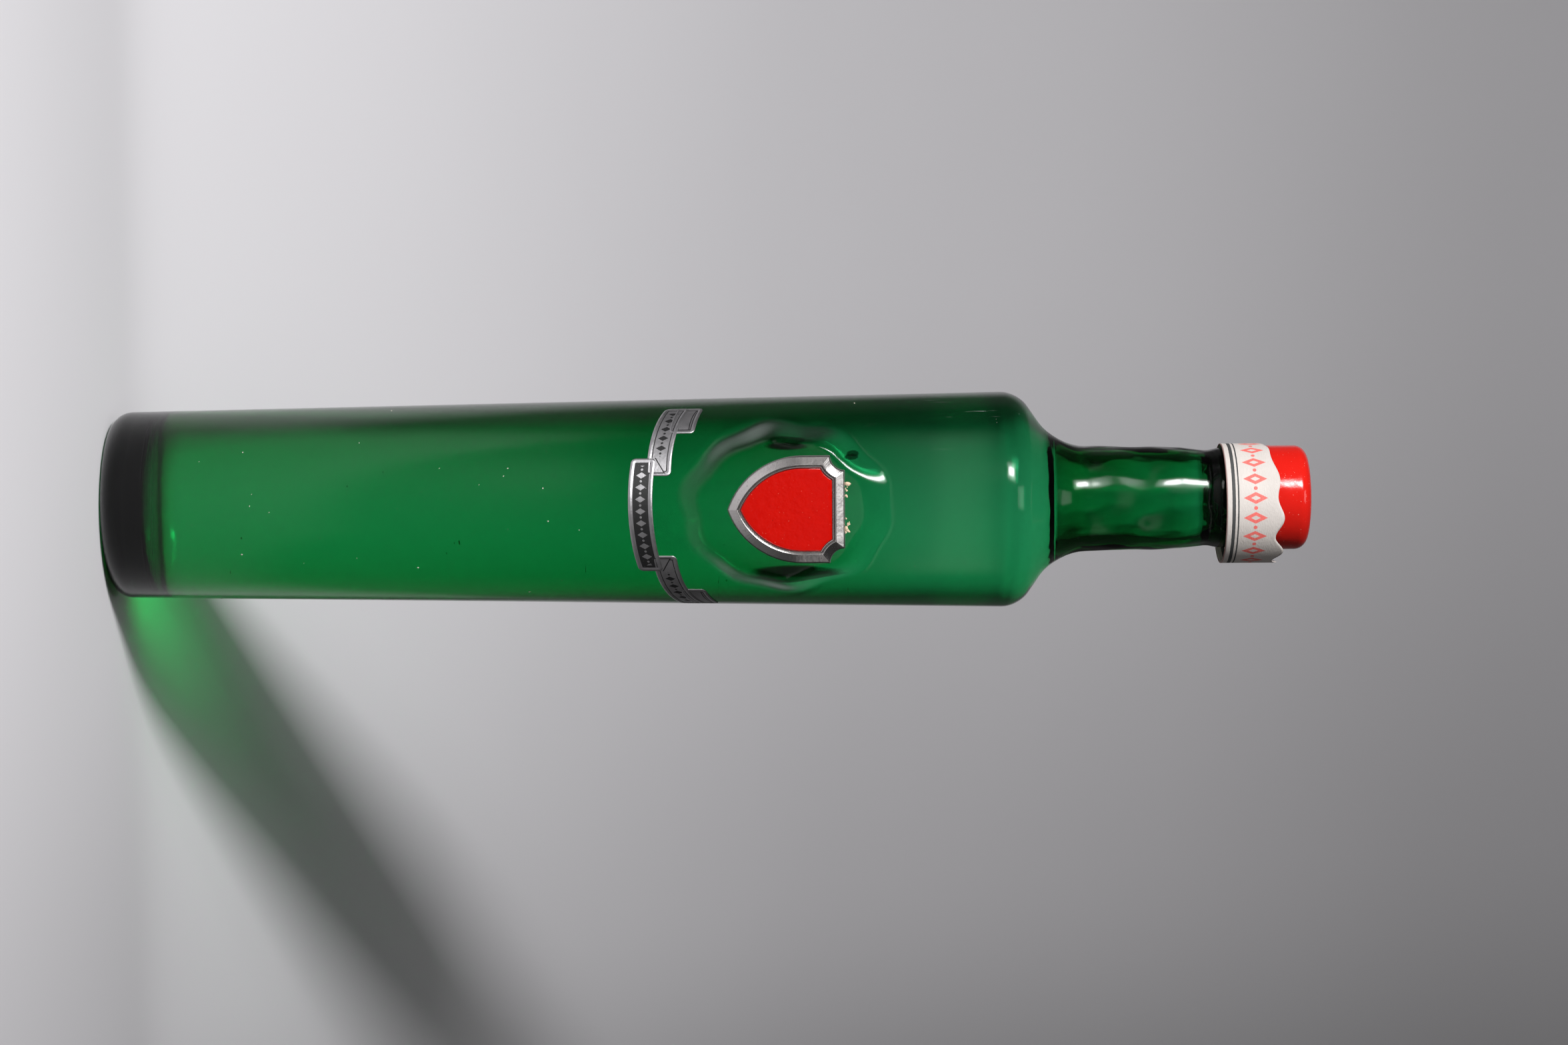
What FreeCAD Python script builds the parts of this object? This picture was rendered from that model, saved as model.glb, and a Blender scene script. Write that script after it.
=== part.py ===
import FreeCAD, Part
import math
import os
import Sketcher

doc = FreeCAD.newDocument("aftershave_bottle")

# Driving sizes in millimetres, and angles in degrees
SIZES = {
    "total_height": 250.0,
    "base_radius": 19.4,
    "heel_round": 4.5,
    "push_up_radius": 13.5,
    "push_up_height": 2.5,
    "shoulder_radius": 22.6,
    "shoulder_drop": 60.5,
    "shoulder_rise": 7.9,
    "shoulder_round": 6.5,
    "neck_foot_radius": 11.2,
    "neck_foot_round": 12.0,
    "neck_radius": 10.6,
    "waist_radius": 9.9,
    "waist_run": 5.4,
    "bead_inset": 0.5,
    "bead_foot": 2.2,
    "bead_length": 3.0,
    "bead_gap": 1.0,
    "bead_round": 0.9,
    "thread_room": 1.2,
    "lip_round": 0.7,
    "side_wall": 2.7,
    "floor_height": 8.4,
    "inside_heel_round": 5.0,
    "inside_shoulder_drop": 2.2,
    "inside_shoulder_round": 5.0,
    "bore_radius": 6.6,
    "inside_neck_drop": 0.8,
    "inside_neck_round": 9.0,
    "fill_drop": 0.4,
    "fill_clearance": 0.1,
    "seal_drop": 48.5,
    "seal_half_width": 17.2,
    "seal_half_height": 21.2,
    "seal_wave": 0.65,
    "field_proud": 0.92,
    "field_share": 0.78,
    "field_sink": 1.0,
    "ribbon_drop": 29.6,
    "ribbon_turn": 6.5,
    "ribbon_thickness": 0.25,
    "ribbon_gap": 0.05,
    "ribbon_width": 4.6,
    "ribbon_middle": 23.0,
    "ribbon_reach": 24.5,
    "ribbon_lap": 2.5,
    "ribbon_tail": 4.5,
    "ribbon_smile": 1.4,
    "ribbon_step": 3.6,
    "ribbon_rise": 2.1,
    "ribbon_curl": 3.6,
    "badge_half_width": 11.0,
    "badge_top": 12.0,
    "badge_notch": 3.0,
    "badge_waist": 3.4,
    "badge_side_round": 16.2,
    "badge_thickness": 1.5,
    "badge_floor": 0.5,
    "badge_bevel": 0.7,
    "badge_rim": 2.2,
    "backing_thickness": 0.35,
    "backing_inset": 0.6,
    "enamel_thickness": 0.5,
    "enamel_clearance": 0.05,
    "cap_radius": 10.9,
    "cap_height": 14.8,
    "cap_top_wall": 2.0,
    "cap_side_wall": 1.0,
    "cap_round": 2.6,
    "cap_edge_round": 0.3,
    "liner_clearance": 0.4,
    "liner_thickness": 1.0,
    "flange_thickness": 0.8,
    "plug_clearance": 0.05,
    "plug_length": 9.0,
    "plug_wall": 1.0,
    "orifice_radius": 2.6,
    "band_ease": 1.5,
    "band_thickness": 0.2,
    "band_drop": 3.2,
    "band_height": 11.3,
    "band_wave": 0.7,
    "band_waves": 9,
    "band_gap": 0.3,
}

sheet = doc.addObject("Spreadsheet::Sheet", "sizes")
for row, (alias, number) in enumerate(SIZES.items(), start=1):
    sheet.set(f"A{row}", alias)
    sheet.set(f"B{row}", str(number))
    sheet.setAlias(f"B{row}", alias)
doc.recompute()


class Size:
    """A length that keeps its number together with the sheet expression behind it."""

    def __init__(self, number, text):
        self.number = number
        self.text = text

    def __add__(self, other):
        return Size(self.number + other.number, f"({self.text} + {other.text})")

    def __sub__(self, other):
        return Size(self.number - other.number, f"({self.text} - {other.text})")

    def __mul__(self, other):
        return Size(self.number * other.number, f"({self.text} * {other.text})")

    def __truediv__(self, other):
        return Size(self.number / other.number, f"({self.text} / {other.text})")


class Sheet:
    """Reads a named size from the sheet."""

    def __getattr__(self, alias):
        return Size(float(sheet.get(alias)), f"sizes.{alias}")


of = Sheet()
ZERO = Size(0.0, "0")
TWO = Size(2.0, "2")


# Heights worked out from the top down
shoulder_height = of.total_height - of.shoulder_drop
neck_foot_height = shoulder_height + of.shoulder_rise
cap_bottom = of.total_height - of.cap_height
bead_top = cap_bottom - of.bead_gap
bead_bottom = bead_top - of.bead_length
waist_height = bead_bottom - of.bead_foot
neck_height = waist_height - of.waist_run
band_bottom = cap_bottom - of.band_drop
band_top = band_bottom + of.band_height
seal_height = shoulder_height - of.seal_drop
ribbon_height = seal_height - of.ribbon_drop

# Radii of the closure worked out from the cap inwards
cap_inside = of.cap_radius - of.cap_side_wall
liner_radius = cap_inside - of.liner_clearance
finish_radius = cap_inside - of.thread_room
flange_radius = finish_radius - of.lip_round
bead_radius = of.cap_radius - of.bead_inset
band_radius = of.cap_radius + of.band_ease


def side_radius(height):
    """Outer radius of the tapered side at a height."""
    taper = (of.shoulder_radius - of.base_radius) / shoulder_height
    return of.base_radius + taper * height


def sketch_on(body, role, name, lift=None):
    """A sketch on one of the body's own planes, moved out along its normal by lift."""
    plane = next(f for f in body.Origin.OriginFeatures if f.Role == role)
    sketch = body.newObject("Sketcher::SketchObject", name)
    sketch.AttachmentSupport = (plane, [""])
    sketch.MapMode = "FlatFace"
    if lift:
        sketch.setExpression("AttachmentOffset.Base.z", lift.text)
    return sketch


def hold(sketch, kind, where, length):
    """Adds a dimension bound to the sheet."""
    index = sketch.addConstraint(Sketcher.Constraint(kind, *where, length.number))
    sketch.setExpression(f"Constraints[{index}]", length.text)


def pin(sketch, line, across, up):
    """Fixes the start of a line at a distance across and up from the sketch's origin."""
    if across.number == 0:
        sketch.addConstraint(Sketcher.Constraint("PointOnObject", line, 1, -2))
    else:
        hold(sketch, "DistanceX", (-1, 1, line, 1), across)
    if up.number == 0:
        sketch.addConstraint(Sketcher.Constraint("PointOnObject", line, 1, -1))
    else:
        hold(sketch, "DistanceY", (-1, 1, line, 1), up)


def turned(name, corners):
    """A body turned about Z from a closed chain of corners, each a radius and a height."""
    body = doc.addObject("PartDesign::Body", name)
    sketch = sketch_on(body, "XZ_Plane", f"{name}_profile")
    places = [FreeCAD.Vector(radius.number, height.number, 0) for radius, height in corners]
    count = len(places)
    for i in range(count):
        sketch.addGeometry(Part.LineSegment(places[i], places[(i + 1) % count]))
    for i in range(count):
        sketch.addConstraint(Sketcher.Constraint("Coincident", i, 2, (i + 1) % count, 1))
    for i, (radius, height) in enumerate(corners):
        pin(sketch, i, radius, height)
    doc.recompute()
    turn = body.newObject("PartDesign::Revolution", f"{name}_turn")
    turn.Profile = sketch
    turn.ReferenceAxis = (sketch, ["V_Axis"])
    turn.Angle = 360
    sketch.Visibility = False
    doc.recompute()
    return body


def rounded(body, radius, corners):
    """Rounds the ring edges of a turned body that lie at these corners."""
    base = body.Tip
    names = []
    for number, edge in enumerate(base.Shape.Edges, start=1):
        ring = edge.Curve
        if not isinstance(ring, Part.Circle):
            continue
        for across, up in corners:
            if math.hypot(ring.Radius - across.number, ring.Center.z - up.number) < 1e-4:
                names.append(f"Edge{number}")
    fillet = body.newObject("PartDesign::Fillet", f"{body.Name}_round")
    fillet.Base = (base, names)
    fillet.setExpression("Radius", radius.text)
    doc.recompute()


def combined(kind, name, base, tool):
    """A boolean of two document objects."""
    result = doc.addObject(kind, name)
    result.Base = base
    result.Tool = tool
    doc.recompute()
    return result


def feature(name, shape):
    """A document object that holds a shape worked out from the sheet."""
    result = doc.addObject("Part::Feature", name)
    result.Shape = shape
    return result


# Stack of hidden closure pieces, from the cap's top down to the glass lip
liner_top = of.total_height - of.cap_top_wall
flange_top = liner_top - of.liner_thickness
lip_height = flange_top - of.flange_thickness


# Outside of the glass
base_corner = (of.base_radius, ZERO)
shoulder_corner = (of.shoulder_radius, shoulder_height)
neck_foot_corner = (of.neck_foot_radius, neck_foot_height)
bead_low_corner = (bead_radius, bead_bottom)
bead_high_corner = (bead_radius, bead_top)
lip_corner = (finish_radius, lip_height)
bottle_form = turned("bottle_form", [
    (ZERO, ZERO),
    base_corner,
    shoulder_corner,
    neck_foot_corner,
    (of.neck_radius, neck_height),
    (of.waist_radius, waist_height),
    bead_low_corner,
    bead_high_corner,
    (finish_radius, bead_top),
    lip_corner,
    (ZERO, lip_height),
])
rounded(bottle_form, of.heel_round, [base_corner])
rounded(bottle_form, of.shoulder_round, [shoulder_corner])
rounded(bottle_form, of.neck_foot_round, [neck_foot_corner])
rounded(bottle_form, of.bead_round, [bead_low_corner, bead_high_corner])
rounded(bottle_form, of.lip_round, [lip_corner])

push_up = doc.addObject("Part::Sphere", "push_up")
ball_radius = (of.push_up_radius * of.push_up_radius / of.push_up_height + of.push_up_height) / TWO
push_up.setExpression("Radius", ball_radius.text)
push_up.setExpression("Placement.Base.z", (of.push_up_height - ball_radius).text)
doc.recompute()


def cavity(name, clearance, top):
    """The hollow of the bottle, smaller by a clearance, up to a top height."""
    floor = of.floor_height + clearance
    heel = (side_radius(of.floor_height) - of.side_wall - clearance, floor)
    inside_height = shoulder_height - of.inside_shoulder_drop
    shoulder = (side_radius(inside_height) - of.side_wall - clearance, inside_height - clearance)
    neck = (of.bore_radius - clearance, neck_foot_height - of.inside_neck_drop - clearance)
    body = turned(name, [(ZERO, floor), heel, shoulder, neck, (neck[0], top), (ZERO, top)])
    rounded(body, of.inside_heel_round, [heel])
    rounded(body, of.inside_shoulder_round, [shoulder])
    rounded(body, of.inside_neck_round, [neck])
    return body


# Raised wavy seal with a flat field
field_depth = side_radius(seal_height) + of.field_proud


def seal_ring(share, depth_at):
    """A closed wavy curve at a share of the seal's size, with its depth given by a function."""
    sink = of.field_sink.number * (1 - share) / (1 - of.field_share.number)
    points = []
    steps = 60
    for step in range(steps):
        angle = 2 * math.pi * step / steps
        ripple = 0.6 * math.sin(10 * angle + 0.5) + 0.4 * math.sin(7 * angle + 2.1)
        wave = of.seal_wave.number * share * ripple
        x = (of.seal_half_width.number * share + wave) * math.cos(angle)
        z = seal_height.number - sink + (of.seal_half_height.number * share + wave) * math.sin(angle)
        points.append(FreeCAD.Vector(x, -depth_at(x, z), z))
    curve = Part.BSplineCurve()
    curve.interpolate(points, PeriodicFlag=True)
    return Part.Wire(curve.toShape())


def level(depth):
    """A depth that is the same all round."""
    return lambda x, z: depth


def slope(part):
    """A depth that is part of the way from the plain side of the bottle to the seal's field."""
    def depth(x, z):
        side = math.sqrt(side_radius(Size(z, "")).number ** 2 - x**2)
        return side + part * (field_depth.number - side)

    return depth


seal = feature("seal", Part.makeLoft([
    seal_ring(1.06, level(field_depth.number / 4)),
    seal_ring(1.06, slope(-0.4)),
    seal_ring(0.97, slope(0.45)),
    seal_ring(0.9, slope(0.85)),
    seal_ring(0.84, slope(0.97)),
    seal_ring(of.field_share.number, level(field_depth.number)),
], True, True))
glass_blank = combined("Part::Fuse", "glass_blank", bottle_form, seal)
hollow = cavity("hollow", ZERO, of.total_height)
glass_hollow = combined("Part::Cut", "glass_hollow", glass_blank, hollow)
glass_bottle = combined("Part::Cut", "glass_bottle", glass_hollow, push_up)

# Lotion
fill_form = cavity("fill_form", of.fill_clearance, of.total_height)
fill_limit = doc.addObject("Part::Cylinder", "fill_limit")
fill_limit.setExpression("Radius", of.shoulder_radius.text)
fill_limit.setExpression("Height", (neck_foot_height - of.fill_drop).text)
doc.recompute()
lotion = combined("Part::Common", "lotion", fill_form, fill_limit)


# Scroll label
def ribbon_strip(start, end, low, high):
    """A solid strip of the scroll in the front view, between two edges given over the arc length."""
    radius = side_radius(ribbon_height).number

    def edge(height_at):
        points = []
        steps = 8
        for step in range(steps + 1):
            arc = start + (end - start) * step / steps
            height = ribbon_height.number + height_at(arc)
            points.append(FreeCAD.Vector(radius * math.sin(arc / radius), 0, height))
        curve = Part.BSplineCurve()
        curve.interpolate(points)
        return curve.toShape()

    below = edge(low)
    above = edge(high)
    sides = [
        Part.makeLine(below.Vertexes[0].Point, above.Vertexes[0].Point),
        Part.makeLine(below.Vertexes[-1].Point, above.Vertexes[-1].Point),
    ]
    outline = Part.Wire(Part.__sortEdges__([below, above, *sides]))
    return Part.Face(outline).extrude(FreeCAD.Vector(0, -2 * radius, 0))


def skin(gap, thickness, low, high):
    """A thin tapered shell around the glass between two heights."""
    def cone(extra):
        bottom = side_radius(Size(low, "")).number + extra
        top = side_radius(Size(high, "")).number + extra
        return Part.makeCone(bottom, top, high - low, FreeCAD.Vector(0, 0, low))

    return cone(gap + thickness).cut(cone(gap))


def ribbon_solid():
    """Middle piece with a slight smile, two rising side pieces and their upturned tails."""
    half = of.ribbon_width.number / 2
    middle = of.ribbon_middle.number / 2
    reach = of.ribbon_reach.number
    lap = of.ribbon_lap.number

    def smile_at(arc):
        return of.ribbon_smile.number * (arc / middle) ** 2

    def wing_at(arc):
        along = (abs(arc) - middle + lap) / (reach - middle + lap)
        return of.ribbon_step.number + of.ribbon_rise.number * along

    whole = ribbon_strip(-middle, middle, lambda arc: smile_at(arc) - half, lambda arc: smile_at(arc) + half)
    for side in (-1, 1):
        inner = side * (middle - lap)
        outer = side * reach
        whole = whole.fuse(ribbon_strip(
            inner, outer, lambda arc: wing_at(arc) - half, lambda arc: wing_at(arc) + half))
        whole = whole.fuse(ribbon_strip(
            side * (reach - of.ribbon_tail.number), outer, wing_at,
            lambda arc: wing_at(arc) + half + of.ribbon_curl.number))
    height = ribbon_height.number
    around = skin(of.ribbon_gap.number, of.ribbon_thickness.number, height - reach, height + reach)
    return whole.common(around).removeSplitter()


ribbon_label = feature("ribbon_label", ribbon_solid())
ribbon_label.Placement = FreeCAD.Placement(
    FreeCAD.Vector(0, 0, 0), FreeCAD.Rotation(FreeCAD.Vector(0, 0, 1), of.ribbon_turn.number))


# Shield badge with notched corners, on the seal's field
def shield(body, name, inset, lift):
    """A closed shield outline, smaller by an inset, on a plane in front of the axis by lift."""
    sketch = sketch_on(body, "XZ_Plane", name, lift)
    full_top = seal_height + of.badge_top
    half = of.badge_half_width - inset
    top = full_top - inset
    waist = seal_height + of.badge_waist
    notch = of.badge_notch + inset
    side_round = of.badge_side_round - inset
    cut = math.sqrt(notch.number**2 - inset.number**2)
    tip_drop = math.sqrt(side_round.number**2 - (side_round.number - half.number) ** 2)
    outward = FreeCAD.Vector(0, 0, 1)

    def place(sign, x, y):
        return FreeCAD.Vector(sign * x, y, 0)

    def arc(centre, radius, start, end):
        """The arc that runs anticlockwise from start to end about a centre."""
        turns = [math.atan2(end_point.y - centre.y, end_point.x - centre.x) for end_point in (start, end)]
        return Part.ArcOfCircle(Part.Circle(centre, outward, radius), *turns)

    tip = place(1, 0, waist.number - tip_drop)
    ends = {}
    for sign in (-1, 1):
        ends[sign] = (
            place(sign, of.badge_half_width.number - cut, top.number),
            place(sign, half.number, full_top.number - cut),
            place(sign, half.number, waist.number),
            place(sign, of.badge_half_width.number, full_top.number),
            place(sign, half.number - side_round.number, waist.number),
        )
    left_top, left_side, left_hip, left_notch, left_centre = ends[-1]
    right_top, right_side, right_hip, right_notch, right_centre = ends[1]
    sketch.addGeometry(Part.LineSegment(left_top, right_top))
    sketch.addGeometry(arc(right_notch, notch.number, right_top, right_side))
    sketch.addGeometry(Part.LineSegment(right_side, right_hip))
    sketch.addGeometry(arc(right_centre, side_round.number, tip, right_hip))
    sketch.addGeometry(arc(left_centre, side_round.number, left_hip, tip))
    sketch.addGeometry(Part.LineSegment(left_hip, left_side))
    sketch.addGeometry(arc(left_notch, notch.number, left_side, left_top))
    fixed = [
        ("Symmetric", 0, 1, 0, 2, -2),
        ("Coincident", 0, 2, 1, 1),
        ("Coincident", 1, 2, 2, 1),
        ("Vertical", 2),
        ("Tangent", 2, 2, 3, 2),
        ("PointOnObject", 3, 1, -2),
        ("Coincident", 6, 2, 0, 1),
        ("Coincident", 5, 2, 6, 1),
        ("Symmetric", 6, 3, 1, 3, -2),
        ("Vertical", 5),
        ("Symmetric", 5, 1, 2, 2, -2),
        ("Tangent", 4, 1, 5, 1),
        ("Coincident", 4, 2, 3, 1),
    ]
    for kind, *where in fixed:
        sketch.addConstraint(Sketcher.Constraint(kind, *where))
    hold(sketch, "DistanceY", (-1, 1, 0, 2), top)
    hold(sketch, "DistanceX", (-1, 1, 1, 3), of.badge_half_width)
    hold(sketch, "DistanceY", (-1, 1, 1, 3), full_top)
    hold(sketch, "Radius", (1,), notch)
    hold(sketch, "DistanceX", (-1, 1, 2, 2), half)
    hold(sketch, "DistanceY", (-1, 1, 2, 2), waist)
    hold(sketch, "Radius", (3,), side_round)
    sketch.Visibility = False
    doc.recompute()
    return sketch


def plate(name, inset, lift, thickness):
    """A shield-shaped plate."""
    body = doc.addObject("PartDesign::Body", name)
    outline = shield(body, f"{name}_outline", inset, lift)
    pad = body.newObject("PartDesign::Pad", f"{name}_pad")
    pad.Profile = outline
    pad.setExpression("Length", thickness.text)
    doc.recompute()
    return body


backing_front = field_depth + of.backing_thickness
badge_front = backing_front + of.badge_thickness
enamel_back = backing_front + of.badge_floor
badge_backing = plate("badge_backing", of.backing_inset, field_depth, of.backing_thickness)
badge_frame = plate("badge_frame", ZERO, backing_front, of.badge_thickness)
badge_blank = badge_frame.Tip
front_edges = [
    f"Edge{number}" for number, edge in enumerate(badge_blank.Shape.Edges, start=1)
    if abs(edge.CenterOfMass.y + badge_front.number) < 1e-6
]
bevel = badge_frame.newObject("PartDesign::Chamfer", "badge_bevel")
bevel.Base = (badge_blank, front_edges)
bevel.setExpression("Size", of.badge_bevel.text)
doc.recompute()
field_outline = shield(badge_frame, "field_outline", of.badge_rim, badge_front)
field_pocket = badge_frame.newObject("PartDesign::Pocket", "field_pocket")
field_pocket.Profile = field_outline
field_pocket.setExpression("Length", (of.badge_thickness - of.badge_floor).text)
doc.recompute()
badge_enamel = plate("badge_enamel", of.badge_rim + of.enamel_clearance, enamel_back, of.enamel_thickness)

# Closure
plug_radius = of.bore_radius - of.plug_clearance
plug_inside = plug_radius - of.plug_wall
plug_bottom = lip_height - of.plug_length
plug_roof = flange_top - of.plug_wall
orifice_reducer = turned("orifice_reducer", [
    (of.orifice_radius, flange_top),
    (flange_radius, flange_top),
    (flange_radius, lip_height),
    (plug_radius, lip_height),
    (plug_radius, plug_bottom),
    (plug_inside, plug_bottom),
    (plug_inside, plug_roof),
    (of.orifice_radius, plug_roof),
])

cap_liner = turned("cap_liner", [
    (ZERO, flange_top),
    (liner_radius, flange_top),
    (liner_radius, liner_top),
    (ZERO, liner_top),
])

cap_top_corner = (of.cap_radius, of.total_height)
cap_edge_corner = (of.cap_radius, cap_bottom)
screw_cap = turned("screw_cap", [
    (ZERO, liner_top),
    (cap_inside, liner_top),
    (cap_inside, cap_bottom),
    cap_edge_corner,
    cap_top_corner,
    (ZERO, of.total_height),
])
rounded(screw_cap, of.cap_round, [cap_top_corner])
rounded(screw_cap, of.cap_edge_round, [cap_edge_corner])


# Loose paper band
def band_ring(radius, height_at):
    """A closed curve around the band at a radius, with its height given over the angle."""
    points = []
    steps = 10 * int(of.band_waves.number)
    for step in range(steps):
        angle = 2 * math.pi * step / steps
        points.append(FreeCAD.Vector(radius * math.cos(angle), radius * math.sin(angle), height_at(angle)))
    curve = Part.BSplineCurve()
    curve.interpolate(points, PeriodicFlag=True)
    return Part.Wire(curve.toShape())


def band_solid():
    """A thin ring with a wavy top edge, about its own centre."""
    inside = band_radius.number
    outside = inside + of.band_thickness.number

    def foot(angle):
        return band_bottom.number

    def crest(angle):
        return band_top.number + of.band_wave.number * math.sin(of.band_waves.number * angle)

    rings = [
        band_ring(outside, foot),
        band_ring(outside, crest),
        band_ring(inside, crest),
        band_ring(inside, foot),
    ]
    walls = [Part.makeRuledSurface(ring, rings[number - 1]) for number, ring in enumerate(rings)]
    shell = Part.Shell([face for wall in walls for face in wall.Faces])
    shell.sewShape()
    solid = Part.Solid(shell)
    solid.fix(1e-6, 1e-6, 1e-6)
    return solid


neck_band = feature("neck_band", band_solid())
band_shift = of.band_ease - of.band_gap
neck_band.Placement = FreeCAD.Placement(
    FreeCAD.Vector(band_shift.number, 0, 0), FreeCAD.Rotation())
doc.recompute()

# Check and write every piece
NODES = [
    glass_bottle, lotion, orifice_reducer, ribbon_label, badge_backing,
    badge_frame, badge_enamel, cap_liner, screw_cap, neck_band,
]
for thing in doc.Objects:
    if "Invalid" in thing.State or "Error" in thing.State:
        raise RuntimeError(f"{thing.Name} did not build")
os.makedirs("parts", exist_ok=True)
for node in NODES:
    if node.Shape.isNull() or not node.Shape.isValid() or len(node.Shape.Solids) != 1:
        raise RuntimeError(f"{node.Name} is not one valid solid")
    node.Shape.exportStep(f"parts/{node.Name}.step")
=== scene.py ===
import math
import random

import bmesh
import bpy
from mathutils import Matrix, Vector, noise


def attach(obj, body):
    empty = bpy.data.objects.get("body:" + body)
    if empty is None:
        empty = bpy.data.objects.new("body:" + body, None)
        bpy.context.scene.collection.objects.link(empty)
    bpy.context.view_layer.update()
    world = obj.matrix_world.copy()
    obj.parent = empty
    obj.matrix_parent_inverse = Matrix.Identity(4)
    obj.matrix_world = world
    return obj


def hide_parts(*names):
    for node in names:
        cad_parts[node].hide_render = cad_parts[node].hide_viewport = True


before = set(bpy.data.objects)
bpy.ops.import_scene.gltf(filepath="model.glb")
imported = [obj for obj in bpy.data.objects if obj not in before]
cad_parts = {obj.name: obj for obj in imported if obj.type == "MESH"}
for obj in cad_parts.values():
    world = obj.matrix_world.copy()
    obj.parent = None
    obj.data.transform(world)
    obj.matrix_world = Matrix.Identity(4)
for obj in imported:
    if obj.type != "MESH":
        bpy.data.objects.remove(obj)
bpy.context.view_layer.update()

MM = 0.001
SAME_POINT = 2e-6
TURN = 2 * math.pi
UP = Vector((0, 0, 1))


# Shader sums
class Wire:
    """A shader socket that takes part in Python sums."""

    def __init__(self, nodes, socket):
        self.nodes = nodes
        self.socket = socket

    def out(self, name):
        """Another output of the same node."""
        return Wire(self.nodes, self.socket.node.outputs[name])

    def maths(self, operation, *terms):
        inputs = dict(enumerate(terms))
        return self.nodes.add("Math", {"operation": operation}, inputs)

    def __add__(self, other):
        return self.maths("ADD", self, other)

    def __sub__(self, other):
        return self.maths("SUBTRACT", self, other)

    def __mul__(self, other):
        return self.maths("MULTIPLY", self, other)

    def __truediv__(self, other):
        return self.maths("DIVIDE", self, other)

    def __radd__(self, other):
        return self.maths("ADD", other, self)

    def __rsub__(self, other):
        return self.maths("SUBTRACT", other, self)

    def __rmul__(self, other):
        return self.maths("MULTIPLY", other, self)

    def __gt__(self, other):
        return self.maths("GREATER_THAN", self, other)

    def __lt__(self, other):
        return self.maths("LESS_THAN", self, other)

    def __mod__(self, other):
        return self.maths("FLOORED_MODULO", self, other)

    def __abs__(self):
        return self.maths("ABSOLUTE", self)

    def most(self, other):
        return self.maths("MAXIMUM", self, other)

    def between(self, low, high):
        """1 where the value lies between two limits."""
        return (self > low) * (self < high)

    def ease(self, low, high):
        """Rises smoothly from 0 at low to 1 at high."""
        settings = {"interpolation_type": "SMOOTHSTEP"}
        return self.nodes.add("MapRange", settings, {0: self, 1: low, 2: high, 3: 0.0, 4: 1.0})


class Nodes:
    """A node tree, emptied and ready for new nodes."""

    def __init__(self, tree):
        self.tree = tree
        self.tree.nodes.clear()

    def add(self, kind, settings=None, inputs=None, out=0):
        """Adds a node: its settings first, then the values or links of its sockets."""
        node = self.tree.nodes.new("ShaderNode" + kind)
        for key, value in (settings or {}).items():
            setattr(node, key, value)
        for key, value in (inputs or {}).items():
            self.plug(node.inputs[key], value)
        return Wire(self, node.outputs[out])

    def plug(self, socket, value):
        if isinstance(value, Wire):
            self.tree.links.new(value.socket, socket)
        else:
            socket.default_value = value

    def axes(self, vector):
        split = self.add("SeparateXYZ", None, {0: vector})
        return split.out("X"), split.out("Y"), split.out("Z")


class Finish(Nodes):
    """The node material of one finish."""

    def __init__(self, name):
        self.material = bpy.data.materials.new(name)
        self.material.use_nodes = True
        super().__init__(self.material.node_tree)
        self.output = self.tree.nodes.new("ShaderNodeOutputMaterial")

    def place(self):
        """Object coordinates in metres."""
        return self.add("TexCoord").out("Object")

    def noise(self, vector, scale, detail=2.0, roughness=0.5):
        inputs = {"Vector": vector, "Scale": scale, "Detail": detail, "Roughness": roughness}
        return self.add("TexNoise", None, inputs)

    def stretched(self, vector, scale):
        """The coordinates with each axis scaled on its own."""
        return self.add("Mapping", None, {"Vector": vector, "Scale": scale})

    def blend(self, factor, first, second):
        """One colour changing to another."""
        settings = {"data_type": "RGBA"}
        return self.add("Mix", settings, {0: factor, 6: first, 7: second}, 2)

    def bump(self, height, distance, strength=1.0):
        return self.add("Bump", None, {"Height": height, "Distance": distance, "Strength": strength})

    def skin(self, **sockets):
        """The surface shader, by socket names with underscores for spaces."""
        inputs = {name.replace("_", " "): value for name, value in sockets.items()}
        return self.add("BsdfPrincipled", None, inputs)

    def mix(self, factor, first, second):
        """One shader changing to another."""
        return self.add("MixShader", None, {0: factor, 1: first, 2: second})

    def lit_through(self, surface, share=1.0):
        """The surface, with a share of the lamps' light going straight through it."""
        lamps = self.add("LightPath").out("Is Shadow Ray")
        return self.mix(lamps * share, surface, self.add("BsdfTransparent"))

    def tint(self, colour, density):
        """A colour that deepens with the thickness."""
        return self.add("VolumeAbsorption", None, {"Color": colour, "Density": density})

    def show(self, surface, volume=None):
        self.plug(self.output.inputs["Surface"], surface)
        if volume:
            self.plug(self.output.inputs["Volume"], volume)
        return self.material


def rgb(red, green, blue):
    """A colour given as it looks on a screen, from 0 to 255."""
    def linear(value):
        share = value / 255
        return share / 12.92 if share <= 0.04045 else ((share + 0.055) / 1.055) ** 2.4

    return (linear(red), linear(green), linear(blue), 1.0)


# Sizes in millimetres that are the same in the part's source
BASE_RADIUS = 19.4
HEEL_ROUND = 4.5
FLOOR_HEIGHT = 8.4
SIDE_WALL = 2.7
SHOULDER_RADIUS = 22.6
SHOULDER_HEIGHT = 189.5
SHOULDER_ROUND = 6.5
NECK_FOOT_RADIUS = 11.2
NECK_FOOT_HEIGHT = 197.4
NECK_FOOT_ROUND = 12.0
NECK_RADIUS = 10.6
WAIST_RADIUS = 9.9
BEAD_RADIUS = 10.4
BEAD_ROUND = 0.9
BEAD_TOP = 234.2
LIP_RADIUS = 8.7
LIP_HEIGHT = 246.2
BORE_RADIUS = 6.6
CAP_RADIUS = 10.9
CAP_INSIDE = 9.9
CAP_BOTTOM = 235.2
CAP_CEILING = 248.0
TOTAL_HEIGHT = 250.0
SEAL_HEIGHT = 141.0
SEAL_HALF_WIDTH = 17.2
SEAL_HALF_HEIGHT = 21.2
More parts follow.
